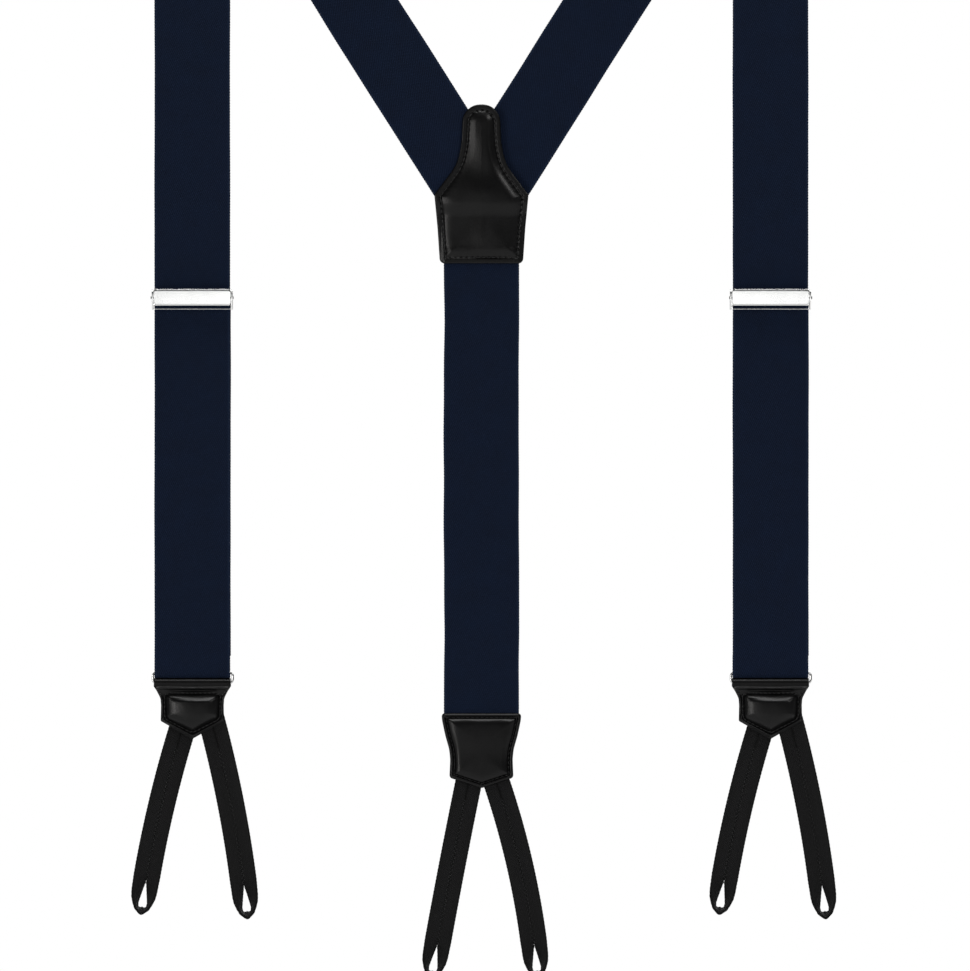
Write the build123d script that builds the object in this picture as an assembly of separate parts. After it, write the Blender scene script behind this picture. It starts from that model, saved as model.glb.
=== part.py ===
from build123d import *
import os
from math import cos, pi, radians, sin, tan

# Button-on suspenders with a Y back, hung over two sloping shoulders.
# Millimetres, +Z up. The front straps hang at -Y and the back at +Y.
# The origin is midway between the two shoulder bends, level with the middle of the webbing at their tops.

# Webbing
WEB_WIDTH = 38.0
WEB_THICK = 1.3
HALF_WEB = WEB_WIDTH / 2
HALF_THICK = WEB_THICK / 2
CROSSED_LAYERS = 3 * WEB_THICK  # both back straps and the stem, one on another

OVERHANG = 1.0             # how far a cutting block reaches past what it cuts

# How it hangs
FRONT_X = 144.4            # middle of a front strap, from the centre
FRONT_Y = -22.0            # middle of the front layer
BACK_Y = 22.0              # middle of the back stem
BACK_ANGLE = 32.3          # the back straps' lean from the vertical
SHOULDER_SLOPE = radians(BACK_ANGLE / 2)
BEND_STATIONS = 16
FRONT_STRAP_TOP = -60.0    # below this the front strap changes length

# Rectangular wire ring between each front strap and its tab
WIRE_R = 0.55
RING_HALF_WIDTH = 19.95    # to the middle of the wire
RING_SHIFT = 0.25
RING_HEIGHT = 5.1          # between the middles of its two bars
RING_CORNER = 1.6
RING_TOP_Z = -453.45
RING_BOTTOM_Z = RING_TOP_Z - RING_HEIGHT
WRAP_IN = 0.85             # inside radius of the webbing or leather that goes round the wire
RING_Y = FRONT_Y + WRAP_IN + HALF_THICK
RETURN_Y = RING_Y + WRAP_IN + HALF_THICK
BIGHT_TOP_Z = -445.0
BIGHT_HALF = 18.9

# Slide adjuster
PIN_Z = -266.1
PIN_Y = -25.6
PIN_R = 0.55
PIN_HALF = 20.7
PIN_HEAD_R = 0.75
PIN_HEAD = 0.35
KNUCKLE_IN = 0.6
KNUCKLE_OUT = 1.15
LEVER_HALF = 19.1
LEVER_TOP = 4.2            # above the pin
LEVER_BOTTOM = -4.0
LEVER_THICK = 0.9
LEVER_FRONT = -2.0         # the plate's face, from the pin
LEVER_FLANGE = 0.7
LEVER_CHAMFER = 0.8
KNUCKLE_WEB_HALF = 0.7      # joins the plate to the knuckle
KNUCKLE_WEB_BITE = 0.1
CAM_PROFILE = [(-0.4, -0.9), (0.9, -0.4), (2.75, -0.9), (1.9, -2.0)]  # Y and Z from the pin
CAM_INSET = 1.0
TOOTH_PITCH = 2.2
TOOTH_NOTCH = 1.0
TOOTH_NOTCH_Y = (2.1, 3.2)  # from the pin
TOOTH_NOTCH_DEPTH = 2.2
TOOTH_COUNT = 15
EAR_IN = 19.55
EAR_THICK = 0.6
EAR_TOP = 4.2
EAR_BOTTOM = -5.9
EAR_FRONT_Y = -26.5
EAR_BACK_Y = -16.3
ANVIL_Y = (-21.05, -20.35)
ANVIL_Z = (-2.8, 3.6)      # from the pin
LIP_Y = (-24.3, -23.4)
LIP_Z = (-5.9, -5.3)       # from the pin
BAR_R = 0.8
BAR_WRAP_IN = 0.95
BAR_Y = RETURN_Y + BAR_WRAP_IN + HALF_THICK
BAR_Z = -269.9
STRAP_END_HALF = 18.9
STRAP_END_Z = -275.0       # where the hem meets the return layer
STRAP_TAIL_Z = -285.0

# Leather
LEATHER = 1.1
PADDED = 1.8
PATCH_TOP_Z = -168.2
PATCH_HEIGHT = 80.0
# half width, and how far below the top
PATCH_SIDE = [(9.2, 10.0), (10.2, 20.0), (12.3, 30.5), (19.2, 39.0), (23.8, 45.5)]
PATCH_BOTTOM_HALF = 20.8
BACK_STRAP_END_Z = -216.0
STEM_TOP_Z = -208.0

# Front tab: half width and height below the wire's middle
TAB_SIDE = [(18.7, 0.0), (18.7, 1.0), (19.3, 1.4), (18.2, 2.6), (15.7, 7.8), (15.7, 19.0)]
TAB_TIP_Z = -486.2
SPACER_DROP = 2.0          # the leather between the flaps starts this far below the wire
FACE_TOP_Z = -464.0
FACE_SIDE = [(13.2, 0.0), (13.2, 11.5)]
FACE_TIP_Z = -483.0

# Back tab
BACK_TAB_TOP_Z = -474.5
BACK_TAB_SIDE = [(20.0, 0.0), (19.6, 5.3), (18.0, 12.0), (16.4, 18.0), (15.7, 23.0), (16.1, 33.0)]
BACK_TAB_TIP_Z = -513.0
STEM_END_Z = -481.5         # the stem's sewn end, where the tab is still wider than it

# Runner loops: two braided tapes side by side with a button slit at the end
TAPE_THICK = 1.3
LOOP_HALF = 6.9
LOOP_STUB = 13.0           # length held inside the leather
STUB_BELOW_TIP = 0.1       # from the leather's tip down to the stub's cut end
STUB_GAP = 0.9             # from the stub's cut end down to the flex line
LOOP_GAP = 0.7             # from the flex line down to the loop's own start
NUB_HALF = 2.6
NUB_LENGTH = 4.0
SLIT_HALF = 1.8
SLIT_LENGTH = 13.0
SLIT_FROM_END = 5.0
TAPER_LENGTH = 15.0
TAPER_MIDDLE = (8.5, 5.9)  # from the end, and the half width there
# offset of the flex line's middle, lean at the top, lean at the bottom, hanging length
FRONT_LOOPS = {"left": (-6.8, 16.5, 8.0, 89.5), "right": (12.2, -14.0, -5.6, 91.0)}
BACK_LOOPS = {"left": (-7.4, 11.5, 10.0, 96.0), "right": (9.2, -18.0, -5.0, 96.4)}
FRONT_FLEX_Z = TAB_TIP_Z - STUB_BELOW_TIP - STUB_GAP
BACK_FLEX_Z = BACK_TAB_TIP_Z - STUB_BELOW_TIP - STUB_GAP

LEFT = -1
RIGHT = 1
SIDES = {"left": LEFT, "right": RIGHT}


def upright(points, y0, y1):
    """A flat piece in the XZ plane with a straight-sided outline, from y0 to y1."""
    face = make_face(Polyline([(x, 0, z) for x, z in points], close=True))
    return Pos(0, y0, 0) * extrude(face, amount=y1 - y0, dir=(0, 1, 0))


def upright_wire(edges, y0, y1):
    """The same for an outline of lines, arcs and splines."""
    return Pos(0, y0, 0) * extrude(make_face(edges), amount=y1 - y0, dir=(0, 1, 0))


def block(x0, x1, y0, y1, z0, z1):
    return Pos((x0 + x1) / 2, (y0 + y1) / 2, (z0 + z1) / 2) * Box(x1 - x0, y1 - y0, z1 - z0)


def rod_x(radius, x0, x1, y, z):
    return Pos((x0 + x1) / 2, y, z) * Rot(0, 90, 0) * Cylinder(radius, x1 - x0)


def half_wrap(half, x, y, z, r_in, thick, over):
    """Half a turn of strap round a bar along X: over the bar, or under it."""
    r_out = r_in + thick
    wide = half + OVERHANG
    deep = r_out + OVERHANG
    turn = rod_x(r_out, x - half, x + half, y, z) - rod_x(r_in, x - wide, x + wide, y, z)
    z_range = (z, z + deep) if over else (z - deep, z)
    return turn & block(x - wide, x + wide, y - deep, y + deep, *z_range)


# ---------------------------------------------------------------- shoulder straps

def bend_frame(side, radius, start_z, turn):
    """Middle, outward normal and width direction of the strap after a given turn over the shoulder."""
    along = Vector(-side * cos(SHOULDER_SLOPE), 0, sin(SHOULDER_SLOPE))
    up = Vector(side * sin(SHOULDER_SLOPE), 0, cos(SHOULDER_SLOPE))
    back = Vector(0, 1, 0)
    centre = Vector(side * FRONT_X, FRONT_Y + radius, start_z)
    middle = centre - back * (radius * cos(turn)) + up * (radius * sin(turn))
    middle = middle + along * (radius * turn * tan(SHOULDER_SLOPE))
    normal = up * sin(turn) - back * cos(turn)
    width = along * cos(SHOULDER_SLOPE) - (back * sin(turn) + up * cos(turn)) * sin(SHOULDER_SLOPE)
    return middle, normal, width


def bend_section(side, radius, start_z, turn):
    middle, normal, width = bend_frame(side, radius, start_z, turn)
    corners = [
        middle + width * HALF_WEB + normal * HALF_THICK,
        middle - width * HALF_WEB + normal * HALF_THICK,
        middle - width * HALF_WEB - normal * HALF_THICK,
        middle + width * HALF_WEB - normal * HALF_THICK,
    ]
    return make_face(Polyline(corners, close=True))


def shoulder_strap(side, back_y):
    """Front top, the turn over the shoulder and the slanting back run, in one length of webbing."""
    radius = (back_y - FRONT_Y) / 2
    drift = radius * pi / 2 * tan(SHOULDER_SLOPE) * sin(SHOULDER_SLOPE)
    start_z = -radius * cos(SHOULDER_SLOPE) - drift
    turns = [pi * i / BEND_STATIONS for i in range(BEND_STATIONS + 1)]
    bend = loft([bend_section(side, radius, start_z, turn) for turn in turns], ruled=True)
    x = side * FRONT_X
    front_y = (FRONT_Y - HALF_THICK, FRONT_Y + HALF_THICK)
    front = block(x - HALF_WEB, x + HALF_WEB, *front_y, FRONT_STRAP_TOP, start_z)
    end, _, width = bend_frame(side, radius, start_z, pi)
    lean = radians(BACK_ANGLE)
    edges = [end + width * HALF_WEB, end - width * HALF_WEB]
    lower = [p - Vector(side * tan(lean), 0, 1) * (p.Z - BACK_STRAP_END_Z) for p in edges]
    outline = [edges[0], edges[1], lower[1], lower[0]]
    back = upright([(p.X, p.Z) for p in outline], back_y - HALF_THICK, back_y + HALF_THICK)
    return front + bend + back


# ---------------------------------------------------------------- back patch and stem

def patch_outline():
    side = [(half, PATCH_TOP_Z - drop) for half, drop in PATCH_SIDE]
    bottom = PATCH_TOP_Z - PATCH_HEIGHT
    right = [(x, 0, z) for x, z in side]
    left = [(-x, 0, z) for x, z in side]
    return [
        ThreePointArc(left[0], (0, 0, PATCH_TOP_Z), right[0]),
        Spline(right),
        Polyline([right[-1], (PATCH_BOTTOM_HALF, 0, bottom), (-PATCH_BOTTOM_HALF, 0, bottom), left[-1]]),
        Spline(left[::-1]),
    ]


def stem():
    return block(-HALF_WEB, HALF_WEB, BACK_Y - HALF_THICK, BACK_Y + HALF_THICK, STEM_END_Z, STEM_TOP_Z)


def make_harness():
    straps = {
        "left_shoulder_strap": shoulder_strap(LEFT, BACK_Y - WEB_THICK),
        "right_shoulder_strap": shoulder_strap(RIGHT, BACK_Y + WEB_THICK),
        "back_stem_strap": stem(),
    }
    inner = BACK_Y - CROSSED_LAYERS / 2
    outer = BACK_Y + CROSSED_LAYERS / 2
    filler = upright_wire(patch_outline(), inner, outer)
    for strap in straps.values():
        filler = filler - strap
    straps["patch_filler"] = filler
    straps["patch_inner_leather"] = upright_wire(patch_outline(), inner - PADDED, inner)
    straps["patch_outer_leather"] = upright_wire(patch_outline(), outer, outer + PADDED)
    return straps


# ---------------------------------------------------------------- runner loops

def loop_point(loop, flex_z, tab_x, u, v):
    """A point u below the flex line along the loop's curved middle, and v to the right of it."""
    offset, lean_top, lean_bottom, length = loop
    start = radians(lean_top)
    bend = (radians(lean_bottom) - start) / length
    lean = start + bend * u
    x = tab_x + offset - (cos(start) - cos(lean)) / bend
    z = flex_z - (sin(lean) - sin(start)) / bend
    return (x + v * cos(lean), 0, z - v * sin(lean))


def hanging_loop(loop, flex_z, tab_x, y):
    """The free part of a runner loop, with its button slit and the small nub where the tape turns."""
    length = loop[3]

    def at(u, v):
        return loop_point(loop, flex_z, tab_x, u, v)

    shoulder = length - TAPER_LENGTH
    neck = length - NUB_LENGTH
    start = -LOOP_HALF
    taper_u = length - TAPER_MIDDLE[0]
    taper_half = TAPER_MIDDLE[1]
    outline = [
        Line(at(start, -LOOP_HALF), at(start, LOOP_HALF)),
        ThreePointArc(at(start, LOOP_HALF), at(shoulder / 2, LOOP_HALF), at(shoulder, LOOP_HALF)),
        Spline([at(shoulder, LOOP_HALF), at(taper_u, taper_half), at(neck, NUB_HALF)]),
        ThreePointArc(at(neck, NUB_HALF), at(length, 0), at(neck, -NUB_HALF)),
        Spline([at(neck, -NUB_HALF), at(taper_u, -taper_half), at(shoulder, -LOOP_HALF)]),
        ThreePointArc(at(shoulder, -LOOP_HALF), at(shoulder / 2, -LOOP_HALF), at(start, -LOOP_HALF)),
    ]
    body = upright_wire(outline, y - TAPE_THICK / 2, y + TAPE_THICK / 2)
    x = tab_x + loop[0]
    reach = LOOP_STUB + LOOP_HALF
    cut_y = (y - TAPE_THICK, y + TAPE_THICK)
    body = body - block(x - reach, x + reach, *cut_y, flex_z - LOOP_GAP, flex_z + reach)
    slit_end = length - SLIT_FROM_END
    slit = [at(slit_end - SLIT_LENGTH, 0), at(slit_end, SLIT_HALF), at(slit_end, -SLIT_HALF)]
    return body - upright([(p[0], p[2]) for p in slit], *cut_y)


def held_tapes(loops, flex_z, tab_x, y):
    """The sewn-in upper ends of a tab's two loops."""
    tapes = []
    bottom = flex_z + STUB_GAP
    for offset, lean_top, _, _ in loops.values():
        slope = tan(radians(lean_top))
        half = LOOP_HALF / cos(radians(lean_top))
        low = tab_x + offset + slope * STUB_GAP
        high = low + slope * LOOP_STUB
        corners = [
            (low - half, bottom),
            (low + half, bottom),
            (high + half, bottom + LOOP_STUB),
            (high - half, bottom + LOOP_STUB),
        ]
        tapes.append(upright(corners, y - TAPE_THICK / 2, y + TAPE_THICK / 2))
    return tapes[0] + tapes[1]


# ---------------------------------------------------------------- leather tabs

def tab_outline(side_points, top_z, tip_z, tab_x):
    right = [(tab_x + half, top_z - drop) for half, drop in side_points]
    left = [(tab_x - half, top_z - drop) for half, drop in side_points]
    return right + [(tab_x, tip_z)] + left[::-1]


def make_front_tab(tab_x):
    """Leather folded over the ring's lower bar, with the tapes between its flaps and a padded face."""
    front = RING_Y - WRAP_IN
    back = RING_Y + WRAP_IN
    outline = tab_outline(TAB_SIDE, RING_BOTTOM_Z, TAB_TIP_Z, tab_x)
    fold = half_wrap(TAB_SIDE[0][0], tab_x, RING_Y, RING_BOTTOM_Z, WRAP_IN, LEATHER, over=True)
    fold = fold + upright(outline, front - LEATHER, front) + upright(outline, back, back + LEATHER)
    tapes = held_tapes(FRONT_LOOPS, FRONT_FLEX_Z, tab_x, RING_Y)
    below_ring = tab_outline([p for p in TAB_SIDE if p[1] > SPACER_DROP], RING_BOTTOM_Z, TAB_TIP_Z, tab_x)
    spacer = upright(below_ring, front, back) - tapes
    wide = TAB_SIDE[0][0] + OVERHANG
    tapes_z = (TAB_TIP_Z - OVERHANG, TAB_TIP_Z + LOOP_STUB)
    spacer = spacer - block(tab_x - wide, tab_x + wide, front, back, *tapes_z)
    face = tab_outline(FACE_SIDE, FACE_TOP_Z, FACE_TIP_Z, tab_x)
    return {
        "tab_fold": fold,
        "tab_face": upright(face, front - LEATHER - PADDED, front - LEATHER),
        "tab_spacer": spacer,
        "tab_tapes": tapes,
    }


def make_back_tab():
    outline = tab_outline(BACK_TAB_SIDE, BACK_TAB_TOP_Z, BACK_TAB_TIP_Z, 0)
    inner = BACK_Y - HALF_THICK
    outer = BACK_Y + HALF_THICK
    tapes = held_tapes(BACK_LOOPS, BACK_FLEX_Z, 0, BACK_Y)
    spacer = upright(outline, inner, outer) - stem()
    wide = BACK_TAB_SIDE[0][0] + OVERHANG
    tapes_z = (BACK_TAB_TIP_Z - OVERHANG, BACK_TAB_TIP_Z + LOOP_STUB)
    spacer = spacer - block(-wide, wide, inner, outer, *tapes_z)
    return {
        "back_tab_inner_leather": upright(outline, inner - PADDED, inner),
        "back_tab_outer_leather": upright(outline, outer, outer + PADDED),
        "back_tab_spacer": spacer,
        "back_tab_tapes": tapes,
    }


# ---------------------------------------------------------------- ring, front layer and return layer

def make_ring(tab_x):
    half = RING_HALF_WIDTH
    x = tab_x + RING_SHIFT
    corners = [
        (x - half, RING_Y, RING_BOTTOM_Z),
        (x + half, RING_Y, RING_BOTTOM_Z),
        (x + half, RING_Y, RING_TOP_Z),
        (x - half, RING_Y, RING_TOP_Z),
    ]
    bars = [
        rod_x(WIRE_R, x - half + RING_CORNER, x + half - RING_CORNER, RING_Y, z)
        for z in (RING_TOP_Z, RING_BOTTOM_Z)
    ]
    upright_length = RING_HEIGHT - 2 * RING_CORNER
    mid_z = (RING_TOP_Z + RING_BOTTOM_Z) / 2
    for end in (-1, 1):
        bars.append(Pos(x + end * half, RING_Y, mid_z) * Cylinder(WIRE_R, upright_length))
    ring = bars[0] + bars[1] + bars[2] + bars[3]
    for corner_x, _, corner_z in corners:
        across = 1 if corner_x > x else -1
        up = 1 if corner_z > mid_z else -1
        centre = Pos(corner_x - across * RING_CORNER, RING_Y, corner_z - up * RING_CORNER)
        elbow = centre * Rot(90, 0, 0) * Torus(RING_CORNER, WIRE_R)
        reach = 3 * RING_CORNER
        box_x = corner_x - across * RING_CORNER + across * reach / 2
        box_z = corner_z - up * RING_CORNER + up * reach / 2
        quarter = elbow & (Pos(box_x, RING_Y, box_z) * Box(reach, reach, reach))
        ring = ring + quarter
    return ring


def make_front_runs(x):
    """Front layer, the turn round the ring and the return layer behind."""
    back_y = (RETURN_Y - HALF_THICK, RETURN_Y + HALF_THICK)
    front_y = (FRONT_Y - HALF_THICK, FRONT_Y + HALF_THICK)
    bight = half_wrap(BIGHT_HALF, x, RING_Y, RING_TOP_Z, WRAP_IN, WEB_THICK, over=False)
    for y0, y1 in (front_y, back_y):
        bight = bight + block(x - BIGHT_HALF, x + BIGHT_HALF, y0, y1, RING_TOP_Z, BIGHT_TOP_Z)
    return {
        "front_strap": block(x - HALF_WEB, x + HALF_WEB, *front_y, BIGHT_TOP_Z, FRONT_STRAP_TOP),
        "strap_bight": bight,
        "return_strap": block(x - BIGHT_HALF, x + BIGHT_HALF, *back_y, BIGHT_TOP_Z, STRAP_END_Z),
    }


# ---------------------------------------------------------------- slide adjuster

def make_lever(x):
    """Front plate on a knuckle, with a toothed cam behind it that grips the webbing."""
    face = PIN_Y + LEVER_FRONT
    back = face + LEVER_THICK
    top = PIN_Z + LEVER_TOP
    bottom = PIN_Z + LEVER_BOTTOM
    corners = [
        (x - LEVER_HALF, bottom + LEVER_CHAMFER),
        (x - LEVER_HALF + LEVER_CHAMFER, bottom),
        (x + LEVER_HALF - LEVER_CHAMFER, bottom),
        (x + LEVER_HALF, bottom + LEVER_CHAMFER),
        (x + LEVER_HALF, top - LEVER_CHAMFER),
        (x + LEVER_HALF - LEVER_CHAMFER, top),
        (x - LEVER_HALF + LEVER_CHAMFER, top),
        (x - LEVER_HALF, top - LEVER_CHAMFER),
    ]
    lever = upright(corners, face, back)
    inset = LEVER_HALF - LEVER_CHAMFER
    lever = lever + block(x - inset, x + inset, back, back + LEVER_FLANGE, top - LEVER_FLANGE, top)
    lever = lever + block(x - inset, x + inset, back, back + LEVER_FLANGE, bottom, bottom + LEVER_FLANGE)
    knuckle = rod_x(KNUCKLE_OUT, x - LEVER_HALF, x + LEVER_HALF, PIN_Y, PIN_Z)
    web_z = (PIN_Z - KNUCKLE_WEB_HALF, PIN_Z + KNUCKLE_WEB_HALF)
    web = block(x - LEVER_HALF, x + LEVER_HALF, back - KNUCKLE_WEB_BITE, PIN_Y, *web_z)
    cam_face = make_face(Polyline([(0, PIN_Y + y, PIN_Z + z) for y, z in CAM_PROFILE], close=True))
    cam_half = LEVER_HALF - CAM_INSET
    cam = Pos(x - cam_half, 0, 0) * extrude(cam_face, amount=2 * cam_half, dir=(1, 0, 0))
    lever = lever + knuckle + web + cam
    wide = LEVER_HALF + OVERHANG
    lever = lever - rod_x(KNUCKLE_IN, x - wide, x + wide, PIN_Y, PIN_Z)
    first = x - TOOTH_PITCH * (TOOTH_COUNT - 1) / 2
    for i in range(TOOTH_COUNT):
        tooth_x = first + i * TOOTH_PITCH
        notch = block(
            tooth_x - TOOTH_NOTCH / 2, tooth_x + TOOTH_NOTCH / 2,
            PIN_Y + TOOTH_NOTCH_Y[0], PIN_Y + TOOTH_NOTCH_Y[1], PIN_Z - TOOTH_NOTCH_DEPTH, PIN_Z,
        )
        lever = lever - notch
    return lever


def make_adjuster(x):
    frame = block(x - EAR_IN, x + EAR_IN, *ANVIL_Y, PIN_Z + ANVIL_Z[0], PIN_Z + ANVIL_Z[1])
    frame = frame + block(x - EAR_IN, x + EAR_IN, *LIP_Y, PIN_Z + LIP_Z[0], PIN_Z + LIP_Z[1])
    for side in (-1, 1):
        near = x + side * EAR_IN
        far = x + side * (EAR_IN + EAR_THICK)
        ear_z = (PIN_Z + EAR_BOTTOM, PIN_Z + EAR_TOP)
        frame = frame + block(min(near, far), max(near, far), EAR_FRONT_Y, EAR_BACK_Y, *ear_z)
    reach = EAR_IN + EAR_THICK + OVERHANG
    frame = frame - rod_x(PIN_R, x - reach, x + reach, PIN_Y, PIN_Z)
    frame = frame - rod_x(BAR_R, x - reach, x + reach, BAR_Y, BAR_Z)
    pin = rod_x(PIN_R, x - PIN_HALF, x + PIN_HALF, PIN_Y, PIN_Z)
    for side in (-1, 1):
        near = x + side * (PIN_HALF - PIN_HEAD)
        far = x + side * PIN_HALF
        pin = pin + rod_x(PIN_HEAD_R, min(near, far), max(near, far), PIN_Y, PIN_Z)
    hem = half_wrap(STRAP_END_HALF, x, BAR_Y, BAR_Z, BAR_WRAP_IN, WEB_THICK, over=True)
    hem = hem + block(
        x - STRAP_END_HALF, x + STRAP_END_HALF,
        RETURN_Y - HALF_THICK, RETURN_Y + HALF_THICK, STRAP_END_Z, BAR_Z,
    )
    tail_y = BAR_Y + BAR_WRAP_IN
    hem = hem + block(x - STRAP_END_HALF, x + STRAP_END_HALF, tail_y, tail_y + WEB_THICK, STRAP_TAIL_Z, BAR_Z)
    return {
        "adjuster_frame": frame,
        "adjuster_bar": rod_x(BAR_R, x - EAR_IN - EAR_THICK, x + EAR_IN + EAR_THICK, BAR_Y, BAR_Z),
        "adjuster_pin": pin,
        "adjuster_lever": make_lever(x),
        "strap_end": hem,
    }


# ---------------------------------------------------------------- assembly

def make_all():
    nodes = make_harness()
    nodes.update(make_back_tab())
    for name, loop in BACK_LOOPS.items():
        nodes["back_tab_loop_" + name] = hanging_loop(loop, BACK_FLEX_Z, 0, BACK_Y)
    for side, sign in SIDES.items():
        x = sign * FRONT_X
        pieces = {}
        pieces.update(make_front_runs(x))
        pieces.update(make_adjuster(x))
        pieces["tab_ring"] = make_ring(x)
        pieces.update(make_front_tab(x))
        for name, loop in FRONT_LOOPS.items():
            pieces["tab_loop_" + name] = hanging_loop(loop, FRONT_FLEX_Z, x, RING_Y)
        for name, solid in pieces.items():
            nodes[side + "_" + name] = solid
    return nodes


os.makedirs("parts", exist_ok=True)
for node_name, shape in make_all().items():
    export_step(shape, "parts/" + node_name + ".step")
    print(node_name, round(shape.volume, 1))
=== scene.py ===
import math
import random

import bmesh
import bpy
import numpy as np
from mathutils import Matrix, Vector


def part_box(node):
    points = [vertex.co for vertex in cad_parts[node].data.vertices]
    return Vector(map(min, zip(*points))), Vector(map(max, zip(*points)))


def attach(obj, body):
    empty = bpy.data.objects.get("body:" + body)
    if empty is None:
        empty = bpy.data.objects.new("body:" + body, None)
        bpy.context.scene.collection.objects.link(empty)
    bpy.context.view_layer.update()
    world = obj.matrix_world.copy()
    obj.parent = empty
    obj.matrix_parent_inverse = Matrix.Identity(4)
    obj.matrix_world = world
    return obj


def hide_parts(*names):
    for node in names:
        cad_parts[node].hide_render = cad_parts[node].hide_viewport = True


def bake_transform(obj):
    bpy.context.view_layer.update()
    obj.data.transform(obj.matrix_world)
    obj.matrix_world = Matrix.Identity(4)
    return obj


# Looks for the suspenders: webbing, leather, braided runner loops and plated adjusters.
# Everything is in metres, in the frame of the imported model. MM turns millimetres into metres.

MM = 0.001
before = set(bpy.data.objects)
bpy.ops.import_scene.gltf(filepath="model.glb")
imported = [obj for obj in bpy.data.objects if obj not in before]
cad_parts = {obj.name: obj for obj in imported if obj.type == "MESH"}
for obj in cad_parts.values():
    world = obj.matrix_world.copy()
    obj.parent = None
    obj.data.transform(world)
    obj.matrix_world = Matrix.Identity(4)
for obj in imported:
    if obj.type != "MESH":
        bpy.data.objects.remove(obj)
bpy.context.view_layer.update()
dice = random.Random(7)

# Webbing
WEB_HALF = 18.9 * MM
WEB_THICK = 1.3 * MM
BACK_LEAN = math.radians(32.3)
SLOPE = BACK_LEAN / 2
WEB_STEP = 0.7 * MM
PICOT = 0.07 * MM
BIGHT_IN = 1.39 * MM
BIGHT_EASE = 16.0 * MM
WEB_IN_PATCH = 38.0 * MM
WIRE_R = 0.55 * MM
SHOULDER_REACH = 15.0 * MM
BLEND_SHARE = 0.96
BLEND_LEAN = 3.6

# Tapes of the runner loops: offset at the flex line, lean at top and bottom (degrees), hanging length
TAPE_HALF = 3.35 * MM
TAPE_THICK = 1.3 * MM
FRONT_LOOPS = {"left": (-6.8, 16.5, 8.0, 89.5), "right": (12.2, -14.0, -5.6, 91.0)}
BACK_LOOPS = {"left": (-7.4, 11.5, 10.0, 96.0), "right": (9.2, -18.0, -5.0, 96.4)}
FLEX_BELOW_TIP = 1.0 * MM
EDGE_STRAND = 1.9 * MM

SIDES = {"left": -1, "right": 1}


# ---- shader fields

class Field:
    """A number worked out at each point of a surface, as a chain of math nodes."""

    def __init__(self, tree, socket):
        self.tree = tree
        self.socket = socket

    def _do(self, operation, *others):
        node = self.tree.nodes.new("ShaderNodeMath")
        node.operation = operation
        for value, socket in zip((self, *others), node.inputs):
            if isinstance(value, Field):
                self.tree.links.new(value.socket, socket)
            else:
                socket.default_value = value
        return Field(self.tree, node.outputs[0])

    def __add__(self, other):
        return self._do("ADD", other)

    def __sub__(self, other):
        return self._do("SUBTRACT", other)

    def __mul__(self, other):
        return self._do("MULTIPLY", other)

    def sin(self):
        return self._do("SINE")

    def abs(self):
        return self._do("ABSOLUTE")

    def wave(self, period):
        """Goes smoothly from 0 to 1 and back over each period."""
        return (self * (2 * math.pi / period)).sin() * 0.5 + 0.5

    def step(self, low, high):
        """0 below low and 1 above high."""
        node = self.tree.nodes.new("ShaderNodeMapRange")
        node.interpolation_type = "SMOOTHSTEP"
        self.tree.links.new(self.socket, node.inputs["Value"])
        node.inputs["From Min"].default_value = low
        node.inputs["From Max"].default_value = high
        return Field(self.tree, node.outputs["Result"])


class Finish:
    """A material being made: its tree, its shader and the fields that its pattern is built from."""

    def __init__(self, name, **constants):
        self.material = bpy.data.materials.new(name)
        self.material.use_nodes = True
        self.tree = self.material.node_tree
        self.shader = self.tree.nodes["Principled BSDF"]
        for socket, value in constants.items():
            self.shader.inputs[socket.replace("_", " ")].default_value = value

    def place(self, output):
        return self.tree.nodes.new("ShaderNodeTexCoord").outputs[output]

    def across_along(self):
        """Millimetres across and along a strip, from its UV map."""
        split = self.tree.nodes.new("ShaderNodeSeparateXYZ")
        self.tree.links.new(self.place("UV"), split.inputs[0])
        return Field(self.tree, split.outputs["X"]), Field(self.tree, split.outputs["Y"])

    def texture(self, kind, output, **settings):
        node = self.tree.nodes.new(kind)
        for name, value in settings.items():
            node.inputs[name].default_value = value
        self.tree.links.new(self.place("Object"), node.inputs["Vector"])
        return Field(self.tree, node.outputs[output])

    def noise(self, scale, detail):
        return self.texture("ShaderNodeTexNoise", "Fac", Scale=scale, Detail=detail)

    def cells(self, scale):
        return self.texture("ShaderNodeTexVoronoi", "Distance", Scale=scale)

    def colour(self, field, *stops):
        """Colours the surface by a field: stops are (place, linear colour)."""
        node = self.tree.nodes.new("ShaderNodeValToRGB")
        ramp = node.color_ramp
        while len(ramp.elements) < len(stops):
            ramp.elements.new(0.5)
        for element, (place, rgb) in zip(ramp.elements, stops):
            element.position = place
            element.color = (*rgb, 1.0)
        self.tree.links.new(field.socket, node.inputs["Fac"])
        self.tree.links.new(node.outputs["Color"], self.shader.inputs["Base Color"])

    def roughness(self, field, low, high):
        self.tree.links.new((field * (high - low) + low).socket, self.shader.inputs["Roughness"])

    def bump(self, field, depth):
        """Raises the surface by up to depth metres where the field is 1."""
        node = self.tree.nodes.new("ShaderNodeBump")
        node.inputs["Distance"].default_value = depth
        self.tree.links.new(field.socket, node.inputs["Height"])
        self.tree.links.new(node.outputs["Normal"], self.shader.inputs["Normal"])


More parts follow.
